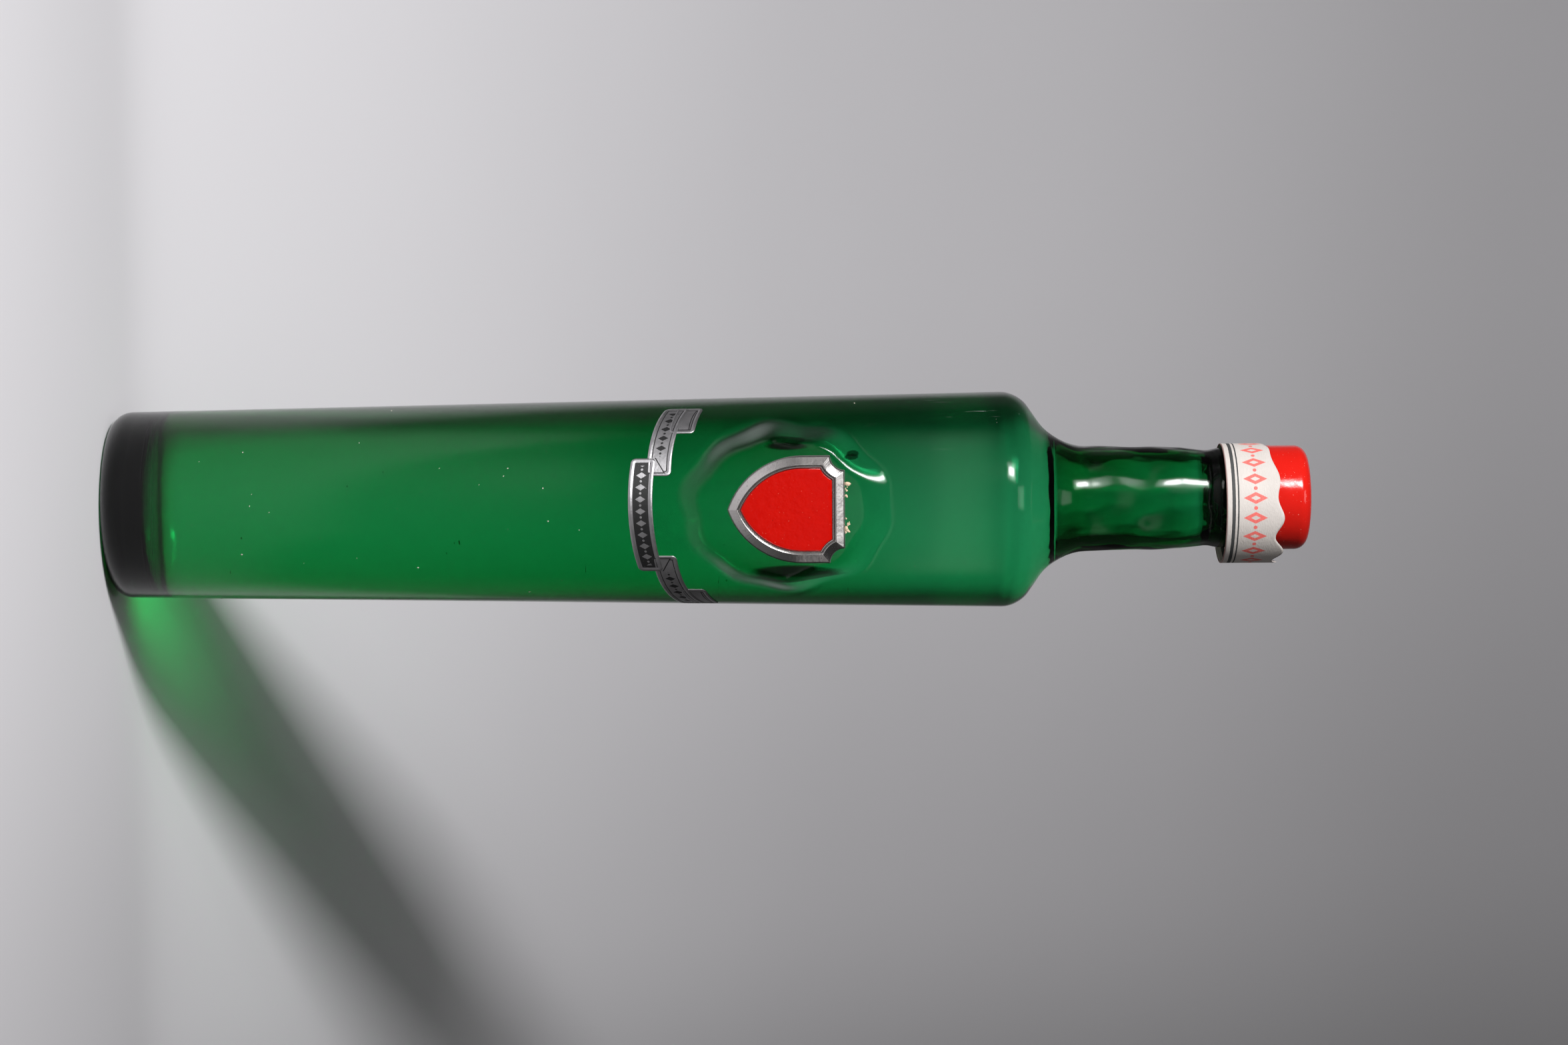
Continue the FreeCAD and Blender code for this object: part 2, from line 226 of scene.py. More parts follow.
SEAL_WAVE = 0.65
FIELD_PROUD = 0.92
FIELD_SHARE = 0.78
FIELD_SINK = 1.0

# Sizes of the dressed glass alone: its thinner shoulder, wider neck hollow and waves
UPPER_WALL = 1.9
INSIDE_SHOULDER_HEIGHT = 189.2
INSIDE_FOOT_HEIGHT = 197.8
NECK_HOLLOW = 7.9
PRESS_LOW = 112.0
PRESS_HIGH = 170.0
PRESS_SHARE = 0.85
NECK_WAVE = 0.3
LOTION_LAP = 0.12


def side_radius(height):
    """Outer radius of the tapered side at a height."""
    return BASE_RADIUS + (SHOULDER_RADIUS - BASE_RADIUS) * height / SHOULDER_HEIGHT


FIELD_DEPTH = side_radius(SEAL_HEIGHT) + FIELD_PROUD


# Modelling helpers
def put(name, data):
    """Puts a new object in the scene."""
    thing = bpy.data.objects.new(name, data)
    bpy.context.scene.collection.objects.link(thing)
    return thing


def shape(name, form, finish, smooth=True):
    """Makes an object of a form, with its finish."""
    mesh = bpy.data.meshes.new(name)
    form.to_mesh(mesh)
    form.free()
    for face in mesh.polygons:
        face.use_smooth = smooth
    mesh.materials.append(finish)
    return put(name, mesh)


def piece(name, form, finish, body, node=None, smooth=True):
    """Makes a shape that rides on a body, and replaces a node of the solids where one is given."""
    thing = shape(name, form, finish, smooth)
    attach(thing, body)
    if node:
        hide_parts(node)
    return thing


def fillet(form, corner, radius, segments):
    """Rounds a corner of a line of edges."""
    ahead, behind = [edge.other_vert(corner).co - corner.co for edge in corner.link_edges]
    turn = math.pi - ahead.angle(behind)
    bmesh.ops.bevel(
        form, geom=[corner], offset=radius * MM * math.tan(turn / 2), offset_type="OFFSET",
        affect="VERTICES", segments=segments, profile=0.5, material=-1)


def profile(corners, segments=8):
    """A line through corners of radius, height and round, in millimetres, in the XZ plane."""
    form = bmesh.new()
    places = [form.verts.new((radius * MM, 0, height * MM)) for radius, height, *_ in corners]
    for pair in zip(places, places[1:]):
        form.edges.new(pair)
    for place, corner in zip(places, corners):
        if len(corner) > 2:
            fillet(form, place, corner[2], segments)
    return form


def turned(form, steps):
    """Turns a profile about Z into a closed form."""
    geom = form.verts[:] + form.edges[:]
    bmesh.ops.spin(form, geom=geom, cent=(0, 0, 0), axis=UP, angle=TURN, steps=steps, use_merge=True)
    bmesh.ops.remove_doubles(form, verts=form.verts[:], dist=SAME_POINT)
    bmesh.ops.recalc_face_normals(form, faces=form.faces[:])
    return form


def divide(form, low, high, inner, cuts):
    """Divides the one long edge of a profile that runs from low to high and lies outside a radius."""
    slack = 1.0
    longest = 60.0
    edges = []
    for edge in form.edges:
        radii = [vert.co.x / MM for vert in edge.verts]
        foot, top = sorted(vert.co.z / MM for vert in edge.verts)
        spans = foot < low + slack and top > high - slack and top - foot < longest
        if spans and min(radii) > inner:
            edges.append(edge)
    bmesh.ops.subdivide_edges(form, edges=edges, cuts=cuts)


# Glass bottle
def seal_share(x, z):
    """How far out a point of the front view lies: 0 at the seal's middle, 1 at its edge."""
    share = 1.0
    for _ in range(3):
        sink = FIELD_SINK * (1 - share) / (1 - FIELD_SHARE)
        rise = z - SEAL_HEIGHT + sink
        angle = math.atan2(rise / SEAL_HALF_HEIGHT, x / SEAL_HALF_WIDTH)
        ripple = 0.6 * math.sin(10 * angle + 0.5) + 0.4 * math.sin(7 * angle + 2.1)
        wide = SEAL_HALF_WIDTH + SEAL_WAVE * ripple
        high = SEAL_HALF_HEIGHT + SEAL_WAVE * ripple
        share = math.hypot(x / wide, rise / high)
    return share


def seal_rise(x, z):
    """How far the glass stands out from its round side, in and around the seal."""
    rim = 1.03
    side = math.sqrt(side_radius(z) ** 2 - x**2)
    climb = min(1, max(0, (rim - seal_share(x, z)) / (rim - FIELD_SHARE)))
    return climb**2 * (3 - 2 * climb) * (FIELD_DEPTH - side)


def press_seal(form, wall, share):
    """Moves a front wall, set in from the outer side, out to the raised wavy seal with its flat field."""
    half_height = 26
    half_width = 20
    slack = 0.9
    for vert in form.verts:
        x, y, z = vert.co / MM
        near = y < 0 and abs(z - SEAL_HEIGHT) < half_height and abs(x) < half_width
        if near and abs(math.hypot(x, y) - side_radius(z) + wall) < slack:
            vert.co.y -= share * seal_rise(x, z) * MM


def ripple_neck(form):
    """Gives the outside of the neck the faint waves of drawn glass, which fade out at both ends."""
    foot = 198
    top = 230
    inner = 9.2
    for vert in form.verts:
        x, y, z = vert.co / MM
        radius = math.hypot(x, y)
        if foot < z < top and radius > inner:
            fade = min(1, (z - foot) / 6, (top - z) / 4)
            wave = noise.noise(Vector((x / 4.5, y / 4.5, z / 7)))
            grow = 1 + NECK_WAVE * fade * wave / radius
            vert.co.x *= grow
            vert.co.y *= grow


def glass_form():
    push_up = [(0, 2.5), (4, 2.28), (8, 1.62), (11, 0.84), (13.5, 0)]
    outside = [
        (BASE_RADIUS, 0, HEEL_ROUND),
        (side_radius(PRESS_LOW), PRESS_LOW),
        (side_radius(PRESS_HIGH), PRESS_HIGH),
        (SHOULDER_RADIUS, SHOULDER_HEIGHT, SHOULDER_ROUND),
        (NECK_FOOT_RADIUS, NECK_FOOT_HEIGHT, NECK_FOOT_ROUND),
        (NECK_RADIUS, 223.6, 6),
        (WAIST_RADIUS, 229, 4),
    ]
    mouth = [
        (BEAD_RADIUS, 231.2, BEAD_ROUND),
        (BEAD_RADIUS, BEAD_TOP, BEAD_ROUND),
        (LIP_RADIUS, BEAD_TOP),
        (LIP_RADIUS, LIP_HEIGHT, 0.7),
        (BORE_RADIUS, LIP_HEIGHT, 0.6),
        (BORE_RADIUS, 231.5),
    ]
    inside = [
        (NECK_HOLLOW, 227, 4),
        (NECK_HOLLOW, INSIDE_FOOT_HEIGHT, 9),
        (side_radius(INSIDE_SHOULDER_HEIGHT) - UPPER_WALL, INSIDE_SHOULDER_HEIGHT, 5),
        (side_radius(PRESS_HIGH) - UPPER_WALL, PRESS_HIGH),
        (side_radius(PRESS_LOW) - SIDE_WALL, PRESS_LOW),
        (side_radius(FLOOR_HEIGHT) - SIDE_WALL, FLOOR_HEIGHT, 5),
        (0, FLOOR_HEIGHT),
    ]
    form = profile(push_up + outside + mouth + inside)
    divide(form, PRESS_LOW, PRESS_HIGH, inner=20.0, cuts=115)
    divide(form, PRESS_LOW, PRESS_HIGH, inner=18.0, cuts=57)
    divide(form, 204, 223, inner=9.2, cuts=36)
    form = turned(form, 256)
    press_seal(form, 0, 1)
    press_seal(form, SIDE_WALL, PRESS_SHARE)
    ripple_neck(form)
    return form


def glass_finish():
    """Deep green bottle glass: tint from its thickness, painted dark patches by the badge that stand in for
    refraction, ripples and scratches.
    """
    finish = Finish("green_bottle_glass")
    place = finish.place()
    x, y, height = finish.axes(place)
    ripple = finish.noise(finish.stretched(place, (1, 1, 0.5)), 95, 2.0)

    def lens(middle, half, rise, reach):
        """A painted dark lens beside the badge, standing in for the badge's dark back seen refracted where
        the field turns down to its edge; sizes in millimetres.
        """
        off = (x / MM - middle) / half
        up = (height / MM - SEAL_HEIGHT - rise) / reach
        return (1 - off * off - up * up + (ripple - 0.5) * 0.5).ease(0.0, 0.6)

    left = lens(middle=-12.8, half=0.9, rise=0.2, reach=5.0)
    upper_left = lens(middle=-10.5, half=0.7, rise=13.4, reach=1.7)
    right = lens(middle=12.8, half=1.4, rise=2.2, reach=10.6)
    # Painted dark refraction: the lenses darken the glass colour to near black, on the front only.
    dark = left.most(upper_left).most(right) * (y < -0.0165)
    painted_refraction_tone = finish.blend(dark * 0.96, (1, 1, 1, 1), (0.0, 0.02, 0.01, 1))

    streak = finish.noise(finish.stretched(place, (1, 1, 0.03)), 2600, 2, 0.6).ease(0.69, 0.76)
    haze = finish.noise(place, 45, 4, 0.65).ease(0.45, 0.75) * height.ease(0.142, 0.175)
    calm = 0.05 + height.ease(0.190, 0.206) * 0.95
    facing = 1 - finish.add("LayerWeight", None, {"Blend": 0.5}).out("Facing")
    clear = finish.skin(
        Base_Color=painted_refraction_tone, Roughness=streak * (0.25 + haze) * 0.25, IOR=1.52, Transmission_Weight=1.0,
        Normal=finish.bump(ripple * calm, 0.0019), Specular_Tint=(0.05, 0.05, 0.05, 1),
        Coat_Weight=facing.ease(0.05, 0.5) * 0.5, Coat_Roughness=0.1)
    scratched = finish.skin(Base_Color=(0.75, 0.82, 0.78, 1), Roughness=0.7)
    worn = finish.mix(streak * haze * 0.3, clear, scratched)
    share = facing.ease(0.25, 0.8) * (1 - height.ease(0.0, 0.13) * 0.7)
    return finish.show(finish.lit_through(worn, share), finish.tint((0.0, 0.77, 0.50, 1), 1000.0))


def lotion_form():
    """The lotion, which reaches a little into the glass so that no film of air shows between them."""
    wall = SIDE_WALL - LOTION_LAP
    upper = UPPER_WALL - LOTION_LAP
    floor = FLOOR_HEIGHT - LOTION_LAP
    shoulder = INSIDE_SHOULDER_HEIGHT + LOTION_LAP
    sides = [
        (0, floor),
        (side_radius(FLOOR_HEIGHT) - wall, floor, 5),
        (side_radius(PRESS_LOW) - wall, PRESS_LOW),
        (side_radius(PRESS_HIGH) - upper, PRESS_HIGH),
        (side_radius(INSIDE_SHOULDER_HEIGHT) - upper, shoulder, 5),
        (11.1, 195.8),
    ]
    surface = [(10.3, 196.5), (9.2, 196.2), (7, 196.0), (0, 195.9)]
    form = profile(sides + surface)
    divide(form, PRESS_LOW, PRESS_HIGH, inner=18.0, cuts=57)
    form = turned(form, 192)
    press_seal(form, wall, PRESS_SHARE)
    return form


def lotion_finish():
    finish = Finish("clear_lotion")
    clear = finish.skin(Base_Color=(1, 1, 1, 1), Roughness=0.0, IOR=1.36, Transmission_Weight=1.0)
    return finish.show(finish.lit_through(clear), finish.tint((0.75, 0.95, 0.6, 1), 4.0))


green_glass = glass_finish()
piece("glass_bottle_skin", glass_form(), green_glass, "bottle", "glass_bottle")
piece("lotion_fill", lotion_form(), lotion_finish(), "bottle", "lotion")


# Screw cap and its thread
THREAD_PITCH = 3.175


def thread_ridge(root, crest, start, turns):
    """A ridge that winds up a wall from root radius to crest radius, with run-out ends."""
    half = 0.75
    rise = THREAD_PITCH * turns
    steps = int(48 * turns)
    run_out = 1 / 8
    form = bmesh.new()
    places = [(root, -half), (crest, -half / 3), (crest, half / 3), (root, half)]
    corners = [form.verts.new((radius * MM, 0, (start + height) * MM)) for radius, height in places]
    edges = [form.edges.new((corners[i], corners[i - 1])) for i in range(4)]
    bmesh.ops.spin(
        form, geom=corners + edges, cent=(0, 0, 0), axis=UP, dvec=(0, 0, rise / steps * MM),
        angle=TURN * turns, steps=steps)
    for vert in form.verts:
        along = (vert.co.z / MM - start) / rise
        radius = math.hypot(vert.co.x, vert.co.y) / MM
        fade = min(1, max(0, along) / run_out, max(0, 1 - along) / run_out)
        wanted = root + (radius - root) * fade
        vert.co.x *= wanted / radius
        vert.co.y *= wanted / radius
    bmesh.ops.holes_fill(form, edges=[edge for edge in form.edges if edge.is_boundary])
    bmesh.ops.remove_doubles(form, verts=form.verts[:], dist=SAME_POINT)
    bmesh.ops.recalc_face_normals(form, faces=form.faces[:])
    return form


def cap_form():
    form = profile([
        (0, CAP_CEILING), (CAP_INSIDE, CAP_CEILING, 0.5), (CAP_INSIDE, CAP_BOTTOM, 0.25),
        (CAP_RADIUS, CAP_BOTTOM, 0.3), (CAP_RADIUS, TOTAL_HEIGHT, 2.6), (0, TOTAL_HEIGHT),
    ], 10)
    return turned(form, 128)


def cap_finish():
    """Glossy red moulded plastic with faint sink marks and pale specks."""
    finish = Finish("red_cap_plastic")
    place = finish.place()
    cloud = finish.noise(place, 90, 3)
    specks = finish.noise(place, 2600, 2).ease(0.70, 0.76)
    colour = finish.blend(cloud, (0.55, 0.009, 0.005, 1), (0.62, 0.014, 0.009, 1))
    colour = finish.blend(specks * 0.5, colour, (0.9, 0.45, 0.35, 1))
    rough = 0.07 + finish.noise(place, 700, 4) * 0.10 + specks * 0.3
    skin = finish.skin(
        Base_Color=colour, Roughness=rough, IOR=1.5,
        Normal=finish.bump(finish.noise(place, 420, 3), 0.0001, 0.6))
    return finish.show(skin)


red_plastic = cap_finish()
cap_thread = thread_ridge(root=10.0, crest=9.25, start=237.0, turns=2.0)
glass_thread = thread_ridge(root=8.6, crest=9.5, start=238.6, turns=1.6)
piece("screw_cap_shell", cap_form(), red_plastic, "cap", "screw_cap")
piece("screw_cap_thread", cap_thread, red_plastic, "cap", None)
piece("neck_thread", glass_thread, green_glass, "bottle", None)


# Loose paper band
BAND_SHIFT = 1.2
BAND_RADIUS = 12.5
BAND_BOTTOM = 232.0
BAND_TOP = 243.25
BAND_THICKNESS = 0.18
BAND_WAVES = 9


def band_top(angle):
    """Height of the wavy top edge, which dips on the left; the angle counts from the front to the right."""
    dip = 2.5 * math.exp(-(((math.degrees(angle) + 92) / 46) ** 2))
    wave = (0.62 + 0.38 * math.sin(2 * angle)) * math.sin(BAND_WAVES * angle + 0.08)
    return BAND_TOP - dip + wave


def band_form():
    form = bmesh.new()
    low = form.verts.new((BAND_RADIUS * MM, 0, BAND_BOTTOM * MM))
    high = form.verts.new((BAND_RADIUS * MM, 0, (BAND_BOTTOM + 1) * MM))
    line = form.edges.new((low, high))
    bmesh.ops.subdivide_edges(form, edges=[line], cuts=23)
    form = turned(form, 216)
    for vert in form.verts:
        angle = math.atan2(vert.co.x, -vert.co.y)
        share = vert.co.z / MM - BAND_BOTTOM
        height = BAND_BOTTOM + share * (band_top(angle) - BAND_BOTTOM)
        slack = 0.5 - 0.5 * math.cos(angle - math.radians(90))
        ease = 1 + 0.006 * math.sin(3 * angle + 0.6) * slack
        vert.co = (vert.co.x * ease + BAND_SHIFT * MM, vert.co.y * ease, height * MM)
    bmesh.ops.solidify(form, geom=form.faces[:], thickness=BAND_THICKNESS * MM)
    bmesh.ops.recalc_face_normals(form, faces=form.faces[:])
    return form


def band_finish():
    """Off-white paper with fibres, stains, two printed lines and a row of lozenges."""
    finish = Finish("band_paper")
    place = finish.place()
    x, y, z = finish.axes(place)
    height = z / MM
    right = x - BAND_SHIFT * MM
    angle = right.maths("ARCTAN2", right, 0 - y)
    cloud = finish.noise(place, 160, 4, 0.6)
    fibre = finish.noise(finish.stretched(place, (1, 1, 2.5)), 1500, 3, 0.7)
    stain = finish.noise(place, 60, 3).ease(0.60, 0.80)
    colour = finish.blend(cloud, rgb(212, 205, 200), rgb(190, 183, 178))
    colour = finish.blend(fibre * 0.4, colour, rgb(178, 170, 163))
    colour = finish.blend(stain * 0.35, colour, rgb(196, 176, 140))
    ragged = height + (fibre - 0.5) * 0.10
    lines = ragged.between(233.15, 233.85).most(ragged.between(234.3, 234.6))
    pitch = math.radians(19)
    along = ((angle + 40 * pitch) % pitch - pitch / 2) * BAND_RADIUS
    dots = ((angle + 40.5 * pitch) % pitch - pitch / 2) * BAND_RADIUS
    middle = abs(ragged - 238.0)
    lozenge = (abs(along) / 1.25 + middle / 2.5) < 1.0
    eye = (abs(along) / 0.5 + middle / 1.0) < 1.0
    bead = (dots * dots + middle * middle) < 0.16
    red = (lozenge - eye).most(bead)
    edge = 1 - height.ease(232.05, 232.35)
    colour = finish.blend(red * (1 - fibre * 0.35), colour, rgb(228, 72, 62))
    colour = finish.blend(lines * 0.95, colour, rgb(38, 42, 44))
    colour = finish.blend(edge * 0.8, colour, rgb(122, 62, 58))
    bump = finish.bump(fibre + cloud, 0.00012, 0.7)
    return finish.show(finish.skin(Base_Color=colour, Roughness=0.62 + cloud * 0.2, Normal=bump))


piece("neck_band_paper", band_form(), band_finish(), "band", "neck_band")


# Scroll label
RIBBON_HEIGHT = 111.4
RIBBON_TURN = math.radians(4.2)
RIBBON_WIDTH = 5.0
RIBBON_MIDDLE = 12.2
RIBBON_REACH = 26.4
RIBBON_INNER = 8.4
RIBBON_TAIL = 18.2
RIBBON_LEAN = 0.055
FOIL_THICKNESS = 0.12
TAIL_WIDTH = 5.4
CORNER = 1.0
MIDDLE, WING, TAIL = range(3)


def smile(arc):
    """Height of the middle piece's lower edge, over the arc length from its centre."""
    return -2.5 + 1.3 * (arc / RIBBON_MIDDLE) ** 2


def wing(arc):
    """Height of a side piece's lower edge, which sweeps up towards its end."""
    out = abs(arc) - 12.5
    return 2.1 + 0.15 * out + 0.0115 * out**2


def tail(arc):
    """Height of the lower edge of a tail, which curls out above a side piece."""
    return wing(arc) + 3.2 - 0.09 * (abs(arc) - 18)


def scroll_panel(form, start, end, low, width, lift, kind):
    """One panel of the scroll on the glass, with round corners; its UV maps hold millimetres."""
    edge = form.loops.layers.uv.get("edge") or form.loops.layers.uv.new("edge")
    sheet = form.loops.layers.uv.get("sheet") or form.loops.layers.uv.new("sheet")
    length = abs(end - start)
    across = int(length * 6)
    made = bmesh.ops.create_grid(form, x_segments=across, y_segments=30, size=0.5)["verts"]
    spots = {}
    for vert in made:
        ends = 0.5 - abs(vert.co.x)
        sides = 0.5 - abs(vert.co.y)
        u = max(0, 1 - ends * length / CORNER)
        v = max(0, 1 - sides * width / CORNER)
        inset = min(ends * length, sides * width)
        if u and v:
            pull = max(u, v) / math.hypot(u, v)
            inset = CORNER * (1 - max(u, v))
            ends = CORNER * (1 - u * pull) / length
            sides = CORNER * (1 - v * pull) / width
        along = 0.5 + math.copysign(0.5 - ends, vert.co.x)
        up = (0.5 + math.copysign(0.5 - sides, vert.co.y)) * width
        arc = start + (end - start) * along
        spots[vert] = ((inset, up), (abs(arc), along * length))
        height = RIBBON_HEIGHT + low(arc) + up + RIBBON_LEAN * arc
        rim = math.exp(-(((inset - 0.42) / 0.24) ** 2)) * 0.09
        radius = side_radius(height) + lift + rim
        angle = arc / side_radius(RIBBON_HEIGHT) + RIBBON_TURN
        vert.co = Vector((radius * math.sin(angle), -radius * math.cos(angle), height)) * MM
    faces = {face for vert in made for face in vert.link_faces}
    for face in faces:
        face.material_index = kind
        for loop in face.loops:
            loop[edge].uv, loop[sheet].uv = spots[loop.vert]


def scroll_form():
    form = bmesh.new()
    for side in (-1, 1):
        end = side * RIBBON_REACH
        scroll_panel(form, side * RIBBON_TAIL, end, tail, TAIL_WIDTH, 0.12, TAIL)
        scroll_panel(form, side * RIBBON_INNER, end, wing, RIBBON_WIDTH, 0.16, WING)
    scroll_panel(form, -RIBBON_MIDDLE, RIBBON_MIDDLE, smile, RIBBON_WIDTH, 0.22, MIDDLE)
    bmesh.ops.recalc_face_normals(form, faces=form.faces[:])
    return form


def scroll_finish(name, part):
    """Stamped silver foil: a rolled rim, printed outlines and a field with a row of lozenges."""
    finish = Finish(name)
    inset, up, _ = finish.axes(finish.add("UVMap", {"uv_map": "edge"}))
    out, along, _ = finish.axes(finish.add("UVMap", {"uv_map": "sheet"}))
    place = finish.place()
    grain = finish.noise(place, 2400, 3, 0.65)
    cloud = finish.noise(place, 420, 3)
    rough_inset = inset + (grain - 0.5) * 0.10
    middle = abs(up - RIBBON_WIDTH / 2)
    step = 2.44
    lozenge = (abs(along % step - step / 2) / 0.66 + middle / 1.05) < 1.0
    dots = abs((along + step / 2) % step - step / 2)
    mark = lozenge.most((dots * dots + middle * middle) < 0.06)
    if part == MIDDLE:
        ink = (rough_inset > 0.92) * (1 - mark * along.between(1.6, 22.9))
    elif part == WING:
        bend = 12.3
        slant = up - 1.6 - (bend - out) * 0.62
        fold = (slant < 0) * (out < bend)
        outline = rough_inset.between(0.86, 1.04) * (1 - fold)
        crease = (abs(slant) < 0.13) * out.between(8.9, bend)
        foot = (abs(out - 9.0) < 0.12) * (slant < 0.1)
        ink = outline.most(crease).most(foot).most(mark * out.between(12.6, 24.5) * (middle < 1.3))
    else:
        roll = abs(up - 4.0 - (out - 22) * (out - 22) * 0.02) < 0.10
        ink = rough_inset.between(0.84, 1.02).most(roll * (inset > 0.9))
    worn = grain.ease(0.67, 0.75)
    ink = ink * (1 - worn * 0.8)
    silver = finish.blend(cloud, rgb(198, 196, 198), rgb(150, 149, 152))
    colour = finish.blend(ink, silver, rgb(14, 14, 15))
    rough = 0.30 + grain * 0.22 + ink * 0.12
    bump = finish.bump(grain * 0.5 - ink * 0.6, 0.00006)
    return finish.show(finish.skin(Base_Color=colour, Metallic=1 - ink * 0.95, Roughness=rough, Normal=bump))


black_foil = scroll_finish("scroll_black", MIDDLE)
ribbon = piece("scroll_label_foil", scroll_form(), black_foil, "bottle", "ribbon_label")
ribbon.data.materials.append(scroll_finish("scroll_silver", WING))
ribbon.data.materials.append(scroll_finish("scroll_tail", TAIL))
foil = ribbon.modifiers.new("thickness", "SOLIDIFY")
foil.thickness = FOIL_THICKNESS * MM
foil.offset = -1


# Shield badge
BADGE_HALF = 11.0
BADGE_TOP = 12.0
BADGE_NOTCH = 3.0
BADGE_WAIST = 3.4
BADGE_SIDE = 16.2
BACKING = 0.35


def shield_ring(form, inset, depth):
    """The shield's outline with notched top corners, smaller by an inset, at a depth before the axis."""
    def spot(x, z):
        return Vector((x, -depth, SEAL_HEIGHT + z)) * MM

    def arc(vert, x, z, degrees, steps):
        made = bmesh.ops.spin(
            form, geom=[vert], cent=spot(x, z), axis=(0, -1, 0), angle=math.radians(degrees), steps=steps)
        return made["geom_last"][0]

    def new_verts():
        return [vert for vert in form.verts if vert not in before]

    def new_edges():
        return list({edge for vert in new_verts() for edge in vert.link_edges})

    before = set(form.verts)
    half = BADGE_HALF - inset
    notch = BADGE_NOTCH + inset
    cut = math.sqrt(notch**2 - inset**2)
    side = BADGE_SIDE - inset
    crown = form.verts.new(spot(0, BADGE_TOP - inset))
    start = form.verts.new(spot(BADGE_HALF - cut, BADGE_TOP - inset))
    form.edges.new((crown, start))
    end = arc(start, BADGE_HALF, BADGE_TOP, 90 - 2 * math.degrees(math.atan2(inset, cut)), 12)
    hip = form.verts.new(spot(half, BADGE_WAIST))
    form.edges.new((end, hip))
    swing = math.degrees(math.acos((side - half) / side))
    arc(hip, half - side, BADGE_WAIST, -swing, 28)
    near = 0.02 * MM
    bmesh.ops.mirror(form, geom=new_verts() + new_edges(), axis="X", merge_dist=near)
    bmesh.ops.remove_doubles(form, verts=new_verts(), dist=near)
    return new_edges()


def shield_form(rings):
    """A closed form through shield outlines, each given by its inset and depth."""
    form = bmesh.new()
    loops = [shield_ring(form, inset, depth) for inset, depth in rings]
    for loop, following in zip(loops, loops[1:]):
        bmesh.ops.bridge_loops(form, edges=loop + following)
    bmesh.ops.contextual_create(form, geom=loops[0])
    bmesh.ops.contextual_create(form, geom=loops[-1])
    bmesh.ops.recalc_face_normals(form, faces=form.faces[:])
    return form


BADGE_BACK = FIELD_DEPTH + BACKING


def badge_frame_form():
    """The stamped rim: a bevel up to a ridge, a groove and a bead, given by inset and height."""
    sections = (
        (0.12, 0.0), (0.0, 0.15), (0.2, 0.48), (0.3, 0.60), (1.75, 1.42), (1.85, 1.44), (1.93, 1.40),
        (2.0, 0.95), (2.1, 0.90), (2.15, 1.02), (2.24, 1.16), (2.36, 1.18), (2.46, 1.08), (2.55, 0.5))
    return shield_form([(inset, BADGE_BACK + height) for inset, height in sections])


def badge_enamel_form():
    """The enamel, a little below the bead and rounded at its edge, given by inset and height."""
    sections = ((2.58, 0.5), (2.58, 0.70), (2.66, 0.78), (2.85, 0.82), (3.5, 0.85))
    return shield_form([(inset, BADGE_BACK + height) for inset, height in sections])


def badge_metal_finish():
    """Chromed metal, darker and less metallic where it sits low against the glass, with dull patches and fine
    pits.
    """
    finish = Finish("badge_chrome")
    place = finish.place()
    cloud = finish.noise(place, 260, 4, 0.6)
    pits = finish.noise(place, 3000, 2).ease(0.66, 0.74)
    _, y, _ = finish.axes(place)
    depth = (0 - y) / MM
    # Darker and less metallic where the frame sits low against the glass.
    dark_near_glass = 1 - depth.ease(FIELD_DEPTH + 0.45, FIELD_DEPTH + 0.80)
    colour = finish.blend(cloud, rgb(214, 210, 208), rgb(176, 172, 170))
    colour = finish.blend((dark_near_glass * 0.96).most(pits * 0.6), colour, rgb(22, 20, 19))
    rough = 0.16 + cloud * 0.14 + pits * 0.2
    skin = finish.skin(
        Base_Color=colour, Metallic=1 - dark_near_glass * 0.9, Roughness=rough,
        Normal=finish.bump(cloud, 0.00008))
    return finish.show(skin)


def badge_enamel_finish():
    """Red enamel with a soft skin, tiny bubbles and specks."""
    finish = Finish("badge_red_enamel")
    place = finish.place()
    cloud = finish.noise(place, 500, 4, 0.6)
    specks = finish.noise(place, 2800, 1).ease(0.74, 0.79)
    dark = finish.noise(place, 1700, 1).ease(0.78, 0.82)
    colour = finish.blend(cloud, (0.43, 0.002, 0.0006, 1), (0.51, 0.004, 0.001, 1))
    colour = finish.blend(specks * 0.6, colour, (0.85, 0.30, 0.22, 1))
    colour = finish.blend(dark * 0.8, colour, (0.12, 0.004, 0.002, 1))
    skin = finish.skin(
        Base_Color=colour, Roughness=0.16 + cloud * 0.12, IOR=1.5, Specular_IOR_Level=0.22,
        Normal=finish.bump(finish.noise(place, 900, 3), 0.00007))
    return finish.show(skin)


piece(
    "badge_frame_metal", badge_frame_form(), badge_metal_finish(), "bottle", "badge_frame",
    smooth=False)
piece("badge_enamel_fill", badge_enamel_form(), badge_enamel_finish(), "bottle", "badge_enamel")


# Old glue and dust
DUST_GRAINS = 230


def grain_form(spots):
    """Small rough grains, each given by its place, the way it faces and its size in millimetres."""
    form = bmesh.new()
    for place, facing, size in spots:
        made = bmesh.ops.create_icosphere(form, subdivisions=1, radius=1)["verts"]
        for vert in made:
            vert.co *= random.uniform(0.6, 1.25)
        long = size * random.uniform(0.5, 1.3)
        broad = size * random.uniform(0.4, 0.9)
        spread = Matrix.Diagonal((long, broad, size * 0.45, 1))
        twist = Matrix.Rotation(random.uniform(0, TURN), 4, "Z")
        turn = facing.to_track_quat("Z", "Y").to_matrix().to_4x4()
        move = Matrix.Translation(place) @ turn @ twist @ spread
        bmesh.ops.transform(form, matrix=Matrix.Scale(MM, 4) @ move, verts=made)
    bmesh.ops.recalc_face_normals(form, faces=form.faces[:])
    return form


